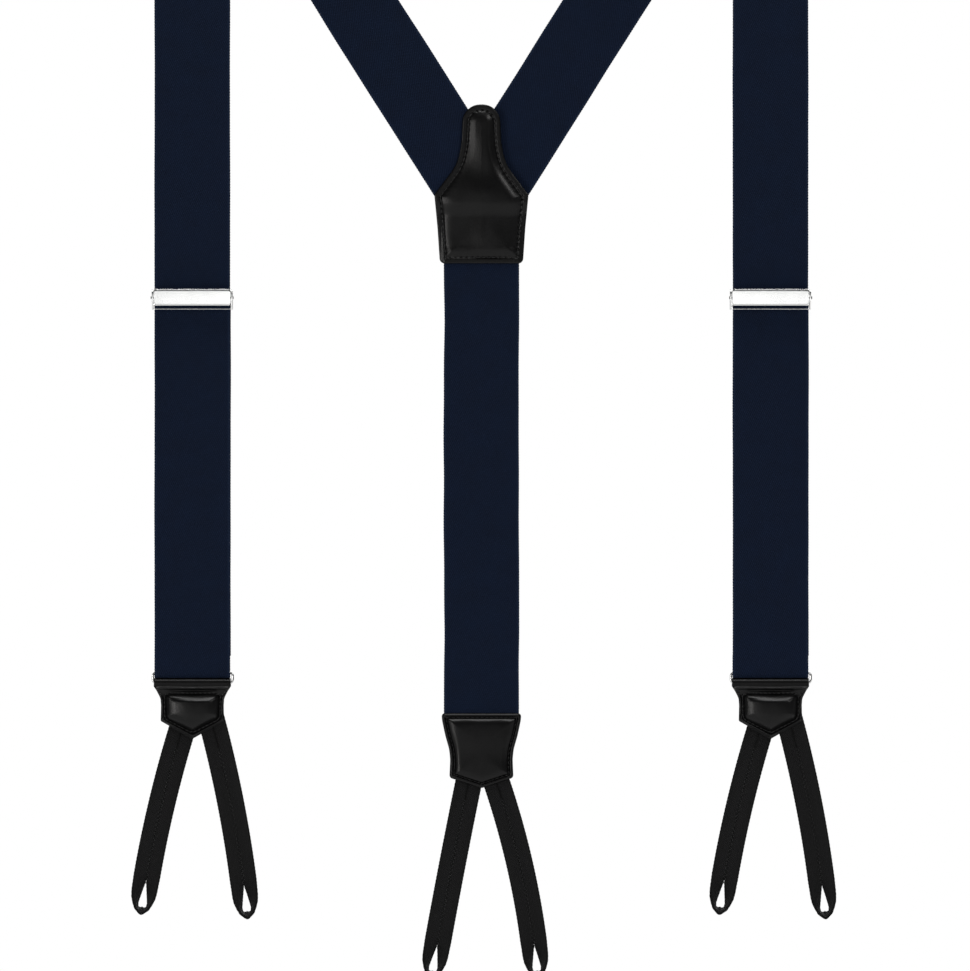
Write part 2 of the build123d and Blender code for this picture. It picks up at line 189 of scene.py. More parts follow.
def webbing_finish():
    """Navy elastic webbing: a steep twill over fine weft ribs, with a plainer, greyer selvedge."""
    finish = Finish(
        "navy_webbing", Sheen_Weight=0.035, Sheen_Roughness=0.45, Specular_IOR_Level=0.09,
        Sheen_Tint=(0.45, 0.55, 0.9, 1.0),
    )
    across, along = finish.across_along()
    twill = (across * 0.90 - along * 0.42).wave(0.92)
    floats = (across * 0.42 + along * 0.90).wave(1.5)
    ribs = along.wave(0.52)
    selvedge = across.abs().step(17.4, 18.1)
    body = twill * (floats * 0.35 + 0.65) * 0.75 + ribs * 0.25
    edge = along.wave(1.4) * 0.6 + across.wave(0.5) * 0.3
    height = body * (selvedge * -1.0 + 1.0) + edge * selvedge
    mottle = finish.noise(90.0, 4.0)
    fuzz = finish.noise(2600.0, 2.0)
    shade = height * 0.5 + mottle * 0.25 + fuzz * 0.15 + selvedge * 0.22
    finish.colour(
        shade,
        (0.15, (0.0012, 0.0030, 0.0090)),
        (0.50, (0.0038, 0.0088, 0.0245)),
        (0.85, (0.0084, 0.0156, 0.0360)),
        (1.00, (0.0240, 0.0290, 0.0450)),
    )
    finish.roughness(mottle, 0.72, 0.92)
    finish.bump(height + fuzz * 0.25, 0.16 * MM)
    return finish.material


def leather_finish():
    """Smooth black calf: fine pebble, soft creases and a low even gloss."""
    finish = Finish("black_leather", Specular_IOR_Level=0.12, Coat_Weight=0.18, Coat_Roughness=0.27)
    pebble = finish.cells(1500.0)
    crease = finish.noise(300.0, 5.0)
    cloud = finish.noise(70.0, 2.0)
    height = pebble * 0.5 + crease * 0.6
    finish.colour(
        cloud * 0.6 + crease * 0.4,
        (0.25, (0.0009, 0.0009, 0.0009)),
        (0.75, (0.0029, 0.0028, 0.0030)),
    )
    finish.roughness(cloud * 0.6 + pebble * 0.4, 0.27, 0.44)
    finish.bump(height, 0.07 * MM)
    return finish.material


def braid_finish():
    """Black braided tape: herringbone strands that meet along the middle, with painted shade darkening its
    edges.
    """
    finish = Finish("black_braid", Sheen_Weight=0.04, Sheen_Roughness=0.5, Specular_IOR_Level=0.16)
    across, along = finish.across_along()
    lean = across.abs() * 0.9
    strand = (along + lean).wave(0.95)
    split = across.wave(0.84)
    fuzz = finish.noise(3000.0, 2.0)
    mottle = finish.noise(160.0, 3.0)
    # Edge mask: it flattens the strands' relief near the edges, and the colour below uses it for painted
    # shade
    selvedge = across.abs().step(2.35, 3.25)
    height = strand * (split * 0.5 + 0.5) * (selvedge * -0.7 + 1.0)
    # Painted shade: the tape is darkened towards its edges, so the groove where the two legs meet reads dark
    finish.colour(
        height * 0.7 + mottle * 0.2 + fuzz * 0.15 - selvedge * 0.22,
        (0.10, (0.0005, 0.0005, 0.0005)),
        (0.50, (0.0034, 0.0034, 0.0036)),
        (1.00, (0.0190, 0.0190, 0.0195)),
    )
    finish.roughness(mottle, 0.66, 0.88)
    finish.bump(height + fuzz * 0.2, 0.30 * MM)
    return finish.material


def thread_finish():
    """Waxed black thread with its twist."""
    finish = Finish("black_thread", Specular_IOR_Level=0.45, Sheen_Weight=0.05)
    across, along = finish.across_along()
    twist = (along + across * 0.8).wave(0.35)
    finish.colour(twist, (0.0, (0.004, 0.004, 0.0042)), (1.0, (0.016, 0.016, 0.017)))
    finish.roughness(twist, 0.45, 0.65)
    finish.bump(twist, 0.04 * MM)
    return finish.material


def plated_finish(name, colour_low, colour_high, rough_low, rough_high):
    """Polished nickel plate with faint polishing lines and handling marks."""
    finish = Finish(name, Metallic=1.0)
    haze = finish.noise(120.0, 4.0)
    marks = finish.noise(1800.0, 3.0)
    finish.colour(haze, (0.2, colour_low), (0.8, colour_high))
    finish.roughness(haze * 0.7 + marks * 0.3, rough_low, rough_high)
    finish.bump(marks, 0.004 * MM)
    return finish.material


WEBBING = webbing_finish()
LEATHER = leather_finish()
BRAID = braid_finish()
THREAD = thread_finish()
PLATED = plated_finish("plated_bar", (0.88, 0.88, 0.87), (0.93, 0.93, 0.92), 0.12, 0.20)
WIRE = plated_finish("plated_wire", (0.55, 0.55, 0.55), (0.74, 0.74, 0.73), 0.12, 0.28)
# The pin gets a dark metal colour, so that its ends show as dark dots beside the plate
DARK = plated_finish("dark_pin", (0.10, 0.10, 0.10), (0.20, 0.20, 0.19), 0.22, 0.36)


# ---- mesh helpers

def add_object(name, data):
    thing = bpy.data.objects.new(name, data)
    bpy.context.scene.collection.objects.link(thing)
    return thing


def add_piece(name, verts, faces, uvs, material, smooth=True):
    """A mesh object from arrays. uvs has one pair of millimetres for each vertex."""
    mesh = bpy.data.meshes.new(name)
    mesh.from_pydata([tuple(map(float, v)) for v in verts], [], [tuple(map(int, f)) for f in faces])
    if uvs is not None:
        layer = mesh.uv_layers.new(name="strip")
        loop_verts = np.zeros(len(mesh.loops), int)
        mesh.loops.foreach_get("vertex_index", loop_verts)
        layer.data.foreach_set("uv", np.asarray(uvs, np.float32)[loop_verts].ravel())
    mesh.materials.append(material)
    piece = add_object(name, mesh)
    outward(piece)
    if smooth:
        mesh.shade_smooth()
    return piece


def outward(piece):
    """Turns all faces to point out."""
    work = bmesh.new()
    work.from_mesh(piece.data)
    bmesh.ops.remove_doubles(work, verts=work.verts, dist=1e-6)
    bmesh.ops.recalc_face_normals(work, faces=work.faces)
    work.to_mesh(piece.data)
    work.free()


def join(name, pieces):
    """One object from several that share a material."""
    for piece in bpy.context.selected_objects:
        piece.select_set(False)
    for piece in pieces:
        piece.select_set(True)
    bpy.context.view_layer.objects.active = pieces[0]
    bpy.ops.object.join()
    pieces[0].name = name
    return pieces[0]


def unit(vectors):
    return vectors / np.linalg.norm(vectors, axis=-1, keepdims=True)


def columns(*parts):
    """Rows of coordinates from one number or array for each coordinate."""
    return np.stack(np.broadcast_arrays(*parts), axis=1)


def smoothstep(x, low, high):
    t = np.clip((np.asarray(x, float) - low) / (high - low), 0, 1)
    return t * t * (3 - 2 * t)


def arc_length(points):
    steps = np.linalg.norm(np.diff(points, axis=0), axis=1)
    return np.concatenate([[0.0], np.cumsum(steps)])


def at_places(line, run, places):
    return columns(*(np.interp(places, run, part) for part in line.T))


def resample(points, step, closed=False):
    """The same line with points a step apart."""
    points = np.asarray(points, float)
    if closed:
        points = np.vstack([points, points[:1]])
    run = arc_length(points)
    count = max(2, int(round(run[-1] / step)))
    places = np.linspace(0, run[-1], count + 1)
    if closed:
        places = places[:-1]
    return at_places(points, run, places)


def between(run, start, full, fade, end):
    """Eases from 0 at start to 1 at full, and back from fade to end."""
    return smoothstep(run, start, full) * (1 - smoothstep(run, fade, end))


def ring_quads(rings, around, base=0):
    """Quads between successive rings of points."""
    faces = []
    for ring in range(rings - 1):
        a = base + ring * around
        b = a + around
        for k in range(around):
            n = (k + 1) % around
            faces.append((a + k, a + n, b + n, b + k))
    return faces


def tube_faces(rings, around, base=0):
    """Quads between rings, with a cap at each end."""
    last = base + (rings - 1) * around
    caps = [tuple(range(base, base + around)), tuple(range(last, last + around))]
    return ring_quads(rings, around, base) + caps


def section(half, thick, edge):
    """Outline of a strip's cross-section: (across, out) pairs, with rounded selvedges."""
    inset = np.array([0.0, 0.10, 0.35, 0.8, 1.6, 2.4]) * edge
    rise = np.array([0.0, 0.52, 0.86, 1.0, 0.97, 1.0])
    middle = np.linspace(-1, 1, 7) * (half - 3.2 * edge)
    top_across = np.concatenate([-half + inset, middle, half - inset[::-1]])
    top_out = np.concatenate([rise, np.ones(7), rise[::-1]]) * thick / 2
    across = np.concatenate([top_across, top_across[-2:0:-1]])
    out = np.concatenate([top_out, -top_out[-2:0:-1]])
    return across, out


def band(name, run, place, material, half, thick, edge=0.5 * MM, picot=0.0):
    """A closed band. place(i, across, out) gives the spots of its section at station i of run, and half is
    one number or one for each station."""
    half = np.broadcast_to(half, len(run))
    verts, uvs = [], []
    for i, s in enumerate(run):
        across, out = section(half[i] + picot * (1 if i % 2 else -1), thick, min(edge, half[i] / 4))
        verts.append(place(i, across, out))
        uvs.append(columns(across / MM, s / MM))
    return add_piece(name, np.vstack(verts), tube_faces(len(run), len(across)), np.vstack(uvs), material)


def strip(name, centre, width, normal, *rest, **shape):
    """A band along a line, with its ways across and out."""
    width, normal = np.broadcast_to(width, centre.shape), np.broadcast_to(normal, centre.shape)

    def place(i, across, out):
        return centre[i] + across[:, None] * width[i] + out[:, None] * normal[i]

    return band(name, arc_length(centre), place, *rest, **shape)


def side_strip(name, line, x, material, half, thick, **shape):
    """A strip that lies square to X along a (y, z) line."""
    tangent = unit(np.gradient(line, axis=0))
    normal = columns(0.0, -tangent[:, 1], tangent[:, 0])
    return strip(name, columns(x, *line.T), [1.0, 0, 0], normal, material, half, thick, **shape)


def arc_over(y, z, radius, turns):
    """(y, z) points round a centre, from its front over its top."""
    return [(y - radius * math.cos(a), z + radius * math.sin(a)) for a in turns]


def rounded(points, radii):
    """A closed outline with an arc at each corner."""
    points = np.asarray(points, float)
    out = []
    count = len(points)
    for i, radius in enumerate(radii):
        here = points[i]
        to_last = points[i - 1] - here
        to_next = points[(i + 1) % count] - here
        last_len, next_len = np.linalg.norm(to_last), np.linalg.norm(to_next)
        to_last, to_next = to_last / last_len, to_next / next_len
        half_turn = (math.pi - math.acos(np.clip(to_last @ to_next, -1, 1))) / 2
        cut = min(radius * math.tan(half_turn), 0.48 * last_len, 0.48 * next_len)
        if half_turn < 1e-3 or cut < 1e-7:
            out.append(here)
            continue
        radius = cut / math.tan(half_turn)
        bisector = unit(to_last + to_next)
        centre = here + bisector * (radius / math.cos(half_turn))
        start = here + to_last * cut - centre
        end = here + to_next * cut - centre
        for f in np.linspace(0, 1, 9):
            swing = unit(start * math.sin((1 - f) * 2 * half_turn) + end * math.sin(f * 2 * half_turn))
            out.append(centre + swing * radius)
    return np.array(out)


def edge_distance(points, outline):
    """How far each point lies inside an outline."""
    best = np.full(len(points), np.inf)
    for start, along in zip(outline, np.roll(outline, -1, axis=0) - outline):
        t = np.clip(((points - start) @ along) / (along @ along), 0, 1)
        best = np.minimum(best, np.linalg.norm(points - start - t[:, None] * along, axis=1))
    return best


def inward(outline):
    """Unit vectors that point into the outline at each of its points."""
    tangent = unit(np.roll(outline, -1, axis=0) - np.roll(outline, 1, axis=0))
    normal = columns(-tangent[:, 1], tangent[:, 0])
    middle = outline.mean(axis=0)
    if np.sum((middle - outline) * normal) < 0:
        normal = -normal
    return normal


PANEL_STEPS = MM * np.array(
    [0, 0.15, 0.35, 0.6, 0.9, 1.2, 1.5, 1.8, 2.05, 2.3, 2.55, 2.8, 3.05, 3.3, 3.6, 4.0, 4.6]
)
PANEL_INNER_RINGS = 8


def panel(name, outline, spine, facing, front, back, place_x=0.0):
    """A leather panel with a shaped face. outline is (x, z); spine is the (low z, high z) of its middle line.
    front and back give the faces' distance from y = 0, towards facing (-1 or 1), at
    (points, distance in from the edge, facing)."""
    centre = columns(0.0, np.clip(outline[:, 1], *spine))
    ray = centre - outline
    length = np.linalg.norm(ray, axis=1, keepdims=True)
    direction = ray / length
    last = np.minimum(PANEL_STEPS[-1], length * 0.6)
    rings = [outline + direction * (last * step / PANEL_STEPS[-1]) for step in PANEL_STEPS]
    for f in np.linspace(0, 1, PANEL_INNER_RINGS + 1)[1:]:
        rings.append(outline + direction * (last + (length - last) * f))
    flat = np.vstack(rings)
    inside = edge_distance(flat, outline)
    verts, faces = [], []
    around = len(outline)
    for base, height in ((0, front), (len(flat), back)):
        verts.append(columns(flat[:, 0] + place_x, facing * height(flat, inside, facing), flat[:, 1]))
        faces += ring_quads(len(rings), around, base)
    for i in range(around):
        n = (i + 1) % around
        faces.append((i, len(flat) + i, len(flat) + n, n))
    return add_piece(name, np.vstack(verts), faces, np.vstack([flat, flat]) / MM, LEATHER)


THREAD_SIDES = 6
THREAD_STATIONS = np.linspace(-1, 1, 7)


def stitching(name, rows, pitch, length, radius):
    """Short threads along lines. Each row is a line and its points' ways out of the surface."""
    verts, faces, uvs = [], [], []
    angles = 2 * math.pi * np.arange(THREAD_SIDES) / THREAD_SIDES
    lift = ((1 - THREAD_STATIONS ** 4) * 0.9 - 0.55) * radius
    sizes = (1 - 0.35 * np.abs(THREAD_STATIONS) ** 3) * radius
    for line, out in rows:
        run = arc_length(line)
        count = int(run[-1] / pitch)
        for k in range(count):
            reach = length / 2 * dice.uniform(0.92, 1.06)
            places = np.clip((k + 0.5) * run[-1] / count + THREAD_STATIONS * reach, 0, run[-1])
            points, ways = at_places(line, run, places), unit(at_places(out, run, places))
            side = unit(np.cross(unit(points[-1] - points[0]), ways[3]))
            points = points + ways * lift[:, None]
            faces += tube_faces(len(points), THREAD_SIDES, len(verts))
            for point, way, place, size in zip(points, ways, places, sizes):
                for s, angle in enumerate(angles):
                    verts.append(point + side * math.cos(angle) * size + way * math.sin(angle) * size)
                    uvs.append((s * radius / MM, place / MM))
    return add_piece(name, verts, faces, uvs, THREAD)


def stitch_path(line, y, facing, x=0.0):
    """A sewn (x, z) line on a face: its points and their ways out of the surface."""
    points = columns(line[:, 0] + x, y, line[:, 1])
    return points, np.broadcast_to([0.0, facing, 0.0], points.shape)


def finish_piece(piece, body=None, blend=None, replaces=()):
    """Attaches a piece to its body, or bakes its place into its mesh when a blend is given, and hides the CAD
    nodes that it stands for.
    """
    if blend:
        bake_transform(piece)
    else:
        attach(piece, body)
    if replaces:
        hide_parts(*replaces)
    return piece


def middle_of(node):
    low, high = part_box(node)
    return (low + high) / 2


# ---- camera, light and floor

CAMERA_PLACE = (1.8 * MM, -6.0, -359.9 * MM)
FRAME_WIDTH = 485.0 * MM
FOCUS_DEPTH = 0.022
FLOOR_HALF = 9.0
FLOOR_Z = -1.0
LAMP_TARGET = (0.0, 0.0, -0.35)
# name: place, size, power, colour
LAMPS = {
    "left_softbox": ((-2.2, -3.0, -0.4), 1.05, 34.0, (1.0, 0.98, 0.96)),
    "right_softbox": ((1.9, -2.4, 1.6), 0.75, 29.0, (1.0, 0.99, 0.98)),
    "top_softbox": ((0.0, -0.8, 2.6), 1.3, 46.0, (1.0, 1.0, 1.0)),
    "front_card": ((0.0, -7.2, -0.3), 1.15, 6.3, (1.0, 1.0, 1.0)),
    "back_softbox": ((0.6, 3.4, 1.2), 2.4, 55.0, (1.0, 1.0, 1.0)),
}


def make_camera():
    data = bpy.data.cameras.new("camera")
    data.sensor_width = 36.0
    data.lens = data.sensor_width * (-CAMERA_PLACE[1] - FOCUS_DEPTH) / FRAME_WIDTH
    data.clip_end = 60.0
    camera = add_object("camera", data)
    camera.location = CAMERA_PLACE
    camera.rotation_euler = (math.pi / 2, 0, 0)
    bpy.context.scene.camera = camera


def make_floor():
    finish = Finish(
        "pale_floor", Specular_IOR_Level=0.1, Emission_Color=(1, 1, 1, 1), Emission_Strength=0.34
    )
    paper = finish.noise(8.0, 3.0)
    finish.colour(paper, (0.0, (0.80, 0.80, 0.80)), (1.0, (0.84, 0.84, 0.84)))
    finish.roughness(paper, 0.8, 0.9)
    corners = [(x * FLOOR_HALF, y * FLOOR_HALF, FLOOR_Z) for x, y in ((-1, -1), (1, -1), (1, 1), (-1, 1))]
    add_piece("floor", corners, [(0, 1, 2, 3)], None, finish.material)


def make_world():
    """Dim bluish light, with a white backdrop that only the camera sees."""
    world = bpy.data.worlds.new("studio")
    bpy.context.scene.world = world
    world.use_nodes = True
    tree = world.node_tree
    dim = tree.nodes["Background"]
    white = tree.nodes.new("ShaderNodeBackground")
    path = tree.nodes.new("ShaderNodeLightPath")
    mix = tree.nodes.new("ShaderNodeMixShader")
    for node, colour, strength in ((dim, (0.92, 0.96, 1.0, 1.0), 0.07), (white, (1.0, 1.0, 1.0, 1.0), 1.0)):
        node.inputs["Color"].default_value = colour
        node.inputs["Strength"].default_value = strength
    tree.links.new(path.outputs["Is Camera Ray"], mix.inputs["Fac"])
    tree.links.new(dim.outputs[0], mix.inputs[1])
    tree.links.new(white.outputs[0], mix.inputs[2])
    tree.links.new(mix.outputs[0], tree.nodes["World Output"].inputs["Surface"])


def make_lamps():
    for name, (place, size, power, colour) in LAMPS.items():
        data = bpy.data.lights.new(name, "AREA")
        data.size = size
        data.energy = power
        data.color = colour
        lamp = add_object(name, data)
        lamp.location = place
        lamp.rotation_mode = "QUATERNION"
        lamp.rotation_quaternion = Vector(np.subtract(LAMP_TARGET, place)).to_track_quat("-Z", "Y")
        lamp.visible_camera = False


def make_stage():
    make_camera()
    make_floor()
    make_world()
    make_lamps()
    bpy.context.scene.view_settings.view_transform = "Standard"


# ---- webbing

def ripple(run, size, seed):
    """A slow, uneven wave along a strap."""
    phases = [seed * 1.7, seed * 2.9 + 1.0, seed * 0.6 + 2.0]
    waves = [(0.145, 0.5), (0.083, 0.3), (0.041, 0.2)]
    total = np.zeros_like(run)
    for (period, share), phase in zip(waves, phases):
        total += share * np.sin(2 * math.pi * run / period + phase)
    return total * size


def shoulder_lines(side, sign):
    """One side's front line (x, y, top z), the lengths over the shoulder and behind, and the way over it."""
    front_low, front_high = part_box(side + "_front_strap")
    x = (front_low.x + front_high.x) / 2
    front_y = (front_low.y + front_high.y) / 2
    back_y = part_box(side + "_shoulder_strap")[1].y - WEB_THICK / 2
    radius = (back_y - front_y) / 2
    drift = radius * math.pi * math.tan(SLOPE)
    start_z = -radius * math.cos(SLOPE) - drift / 2 * math.sin(SLOPE)
    bend_length = radius * math.pi / math.cos(SLOPE)
    hidden_end_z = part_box("patch_outer_leather")[1].z - WEB_IN_PATCH
    back_length = (start_z + drift * math.sin(SLOPE) - hidden_end_z) / math.cos(BACK_LEAN)

    axis = np.array([-sign * math.cos(SLOPE), 0, math.sin(SLOPE)])
    up = np.array([sign * math.sin(SLOPE), 0, math.cos(SLOPE)])
    backwards = np.array([0, 1.0, 0])
    anchor = np.array([x, front_y + radius, start_z])

    def on_shoulder(s, v, lift):
        """The webbing over the sloping shoulder: s along from the bend's start, v across, lift out."""
        turn_run = s * math.cos(SLOPE) - v * math.sin(SLOPE)
        axial = s * math.sin(SLOPE) + v * math.cos(SLOPE)
        turn = np.clip(turn_run / radius, 0, math.pi)
        spare = turn_run - turn * radius
        cos, sin = np.cos(turn)[:, None], np.sin(turn)[:, None]
        spot = anchor + axis * axial[:, None] + (up * sin - backwards * cos) * radius
        spot = spot + (backwards * sin + up * cos) * spare[:, None]
        return spot + (up * sin - backwards * cos) * lift[:, None]

    return x, front_y, start_z, bend_length, back_length, on_shoulder


def make_side_webbing(side, sign):
    """One side's webbing: patch, shoulder, front and the turn round the ring, in one length."""
    x, front_y, start_z, bend_length, back_length, on_shoulder = shoulder_lines(side, sign)
    ring_y = middle_of(side + "_tab_ring").y
    ring_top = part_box(side + "_tab_ring")[1].z - WIRE_R
    return_low, return_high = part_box(side + "_return_strap")
    return_y = (return_low.y + return_high.y) / 2
    bend_radius = BIGHT_IN + WEB_THICK / 2
    front_length = start_z - ring_top
    turn_length = math.pi * bend_radius
    back_up = return_low.z - ring_top
    top = back_length + bend_length
    total = top + front_length + turn_length + back_up
    run = np.append(np.arange(0, total, WEB_STEP), total)
    seed = 1.0 if side == "left" else 2.3
    sway = ripple(run, 0.25 * MM, seed) * between(run, 0.03, 0.09, top - 0.03, top + 0.02)
    drape = ripple(run, 0.5 * MM, seed + 4) * between(run, 0.04, 0.10, top - 0.09, top - 0.05)
    half = WEB_HALF + ripple(run, 0.10 * MM, seed + 2)

    def on_front(s, across, out):
        """The webbing down the front, round the ring's upper wire and up behind."""
        down = s - top - front_length
        turn = np.clip(down / bend_radius, 0, math.pi)
        past = max(down - turn_length, 0)
        z = ring_top - min(down, 0)
        out_y, out_z = -math.cos(turn), -math.sin(turn)
        y = ring_y + bend_radius * out_y
        y += (front_y - ring_y + bend_radius) * float(smoothstep(z - ring_top, 0, BIGHT_EASE))
        y += (return_y - ring_y - bend_radius) * float(smoothstep(past, 0, back_up))
        z += bend_radius * out_z + past
        return columns(x - sign * across, y + out * out_y, z + out * out_z)

    def place(i, across, out):
        left = top - run[i]
        if left > -SHOULDER_REACH:
            return on_shoulder(np.full(len(across), left), across + sway[i], out + drape[i])
        return on_front(run[i], across, out)

    piece = band(side + "_webbing", run, place, WEBBING, half, WEB_THICK, picot=PICOT)
    front_low, front_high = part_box(side + "_front_strap")
    # the blend's direction leans forwards, so that the back run, at +Y, stays wholly on the harness
    drop = (front_high.z - front_low.z) * BLEND_SHARE / (1 + BLEND_LEAN ** 2)
    start = (x, front_y, front_high.z)
    end = (x, front_y - BLEND_LEAN * drop, front_high.z - drop)
    finish_piece(
        piece, blend=("harness", side + "_drop", start, end),
        replaces=[side + "_shoulder_strap", side + "_front_strap", side + "_strap_bight"],
    )


TAIL_SLOPE = 9.0 * MM
SEWING_INSET = 2.0 * MM


def make_return_webbing(side):
    """The layer behind: up from the ring, over the adjuster's fixed bar, with its sewn-down tail."""
    low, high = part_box(side + "_return_strap")
    x = (low.x + high.x) / 2
    y = (low.y + high.y) / 2
    bar = middle_of(side + "_adjuster_bar")
    tail_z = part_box(side + "_strap_end")[0].z
    radius = bar.y - y
    join_z = bar.z - TAIL_SLOPE
    tail_y = y + WEB_THICK * 1.02
    points = [(y, low.z), (y, bar.z)] + arc_over(bar.y, bar.z, radius, np.linspace(0.2, math.pi, 12))
    for f in np.linspace(0.1, 1, 10):
        ease = smoothstep(f, 0, 1)
        points.append((bar.y + radius + (tail_y - bar.y - radius) * ease, bar.z + (join_z - bar.z) * f))
    points.append((tail_y, tail_z))
    line = resample(points, WEB_STEP)
    run = arc_length(line)
    half = WEB_HALF + ripple(run, 0.12 * MM, 5.0)
    piece = side_strip(side + "_return_webbing", line, x + 0.25 * MM, WEBBING, half, WEB_THICK, picot=PICOT)
    finish_piece(
        piece,
        blend=(side + "_drop", side + "_adjuster", (x, y, low.z), (x, y, tail_z - 1 * MM)),
        replaces=[side + "_return_strap", side + "_strap_end"],
    )
    z0, z1 = tail_z + SEWING_INSET, join_z
    x0, x1 = x - WEB_HALF + SEWING_INSET, x + WEB_HALF - SEWING_INSET
    box_line = resample([(x0, z1), (x1, z1), (x1, z0), (x0, z0), (x0, z1)], 0.5 * MM)
    rows = [stitch_path(box_line, tail_y + WEB_THICK / 2, 1)]
    thread = stitching(side + "_tail_stitching", rows, 2.4 * MM, 1.9 * MM, 0.2 * MM)
    finish_piece(thread, body=side + "_adjuster")


def make_stem():
    low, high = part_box("back_stem_strap")
    y = (low.y + high.y) / 2
    zs = np.arange(high.z, low.z, -WEB_STEP)
    run = high.z - zs
    calm = between(run, 0.03, 0.08, run[-1] - 0.05, run[-1] - 0.02)
    sway = ripple(run, 0.3 * MM, 3.0) * calm
    drape = ripple(run, 0.4 * MM, 6.0) * calm
    centre = columns(sway, y + drape, zs)
    half = WEB_HALF + ripple(run, 0.12 * MM, 8.0)
    piece = strip(
        "back_stem_webbing", centre, [1.0, 0, 0], [0, -1.0, 0], WEBBING, half, WEB_THICK, picot=PICOT
    )
    start = (0, y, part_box("patch_inner_leather")[0].z)
    end = (0, y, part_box("back_tab_inner_leather")[1].z)
    finish_piece(piece, blend=("harness", "back_tab", start, end), replaces=["back_stem_strap"])


# ---- leather

def edge_round(inside, thick, reach, least):
    """Height of a cut edge: least of its thickness at the rim, rounded up to all of it."""
    rim = 1 - np.clip(inside / reach, 0, 1)
    return thick * (least + (1 - least) * np.sqrt(1 - rim ** 2))


def bump_at(distance, width):
    return np.exp(-(distance / width) ** 2)


EDGE_REACH = 0.8 * MM
GROOVE_HALF = 0.42 * MM
DOME_REACH = 7 * MM


def rim_and_pad(inside, thick, groove, rise, groove_depth, pad_reach, dome, bead=0.0):
    """Height of a leather face above its underside: rounded edge, rim, sewn groove, padded, domed field."""
    field = np.clip(inside - groove, 0, None)
    pad = rise * smoothstep(field, 0, pad_reach) + dome * (1 - np.exp(-field / DOME_REACH))
    rim = bead * bump_at(inside - 0.45 * groove, 0.3 * groove)
    cut = groove_depth * bump_at(inside - groove, GROOVE_HALF)
    return edge_round(inside, thick, EDGE_REACH, 0.45) - cut + pad + rim


def closed_line(outline, inset):
    """The outline drawn in by a distance, as a line that ends where it starts."""
    line = resample(outline + inward(outline) * inset, 0.4 * MM, closed=True)
    return np.vstack([line, line[:1]])


NEEDLE_R = 0.5 * MM


def prick_spots(line, pitch):
    """Where the needle went in: between each two stitches of a line."""
    run = arc_length(line)
    count = int(run[-1] / pitch)
    places = np.arange(count) * run[-1] / count
    return at_places(line, run, places)


def pricked(points, spots):
    """1 at each needle hole, falling off round it."""
    nearest = np.full(len(points), np.inf)
    for spot in spots:
        nearest = np.minimum(nearest, np.linalg.norm(points - spot, axis=1))
    return bump_at(nearest, NEEDLE_R)


def face_outline(side, top_z, step, tip_z=None, tip_radius=0.0):
    """Outline of a leather face from its right side: rows of half width, drop below top_z and corner
    radius, in millimetres."""
    right = [(half * MM, top_z - drop * MM) for half, drop, _ in side]
    left = [(-x, z) for x, z in right[::-1]]
    radii = [radius * MM for _, _, radius in side]
    tips = [] if tip_z is None else [(0.0, tip_z)]
    corners = rounded(right + tips + left, radii + [tip_radius] * len(tips) + radii[::-1])
    return resample(corners, step, closed=True)


def sewn_pair(body, part, filler, side, step, spine, groove, stitch, base, relief, prick, fill, **tip):
    """Two padded leather faces sewn back to back. side, step and tip give their outline, and spine how far
    their middle line stays from its low and high ends. stitch is the thread's pitch, length and radius.
    base gives half the thickness between the faces, relief a face's own shape, and prick how deep its
    needle holes are."""
    low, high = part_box(part + "_outer_leather")
    middle_y = (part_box(part + "_inner_leather")[0].y + high.y) / 2
    outline = face_outline(side, high.z, step, **tip)
    outline[:, 1] += high.z - outline[:, 1].max()
    line = closed_line(outline, groove)
    spots = prick_spots(line, stitch[0])

    def back(flat, inside, facing):
        return facing * middle_y + base(flat)

    def front(flat, inside, facing):
        return back(flat, inside, facing) + relief(flat, inside, facing) - prick * pricked(flat, spots)

    rows = []
    ends = (low.z + spine[0], high.z - spine[1])
    for facing, name, node in ((-1, "_front", "_inner"), (1, "_back", "_outer")):
        piece = panel(part + name + "_leather", outline, ends, facing, front, back)
        finish_piece(piece, body=body, replaces=[part + node + "_leather", filler])
        rows.append(stitch_path(line, facing * front(line, edge_distance(line, outline), facing), facing))
    finish_piece(stitching(part + "_stitching", rows, *stitch), body=body)


# half width, drop below the top, corner radius
PATCH_SIDE = [
    (9.2, 0.0, 9.0), (10.1, 20.0, 40.0), (12.3, 30.2, 22.0), (18.8, 38.8, 40.0),
    (23.7, 45.4, 1.4), (22.1, 62.0, 60.0), (20.9, 80.0, 2.6),
]
PATCH_GROOVE = 3.0 * MM
PATCH_THICK = BACK_TAB_THICK = 1.15 * MM


def patch_stack(points):
    """Half the thickness of the webbing between the patch's faces: three layers, then the stem alone."""
    x, z = points[:, 0], points[:, 1]
    strap_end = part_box("left_shoulder_strap")[0].z
    crossed = smoothstep(z, strap_end - 9 * MM, strap_end - 1 * MM)
    beside = (1 - crossed) * smoothstep(np.abs(x), WEB_HALF - 0.6 * MM, WEB_HALF + 1.6 * MM)
    return WEB_THICK / 2 * (1 + 2 * crossed) * (1 - beside) + 0.05 * MM


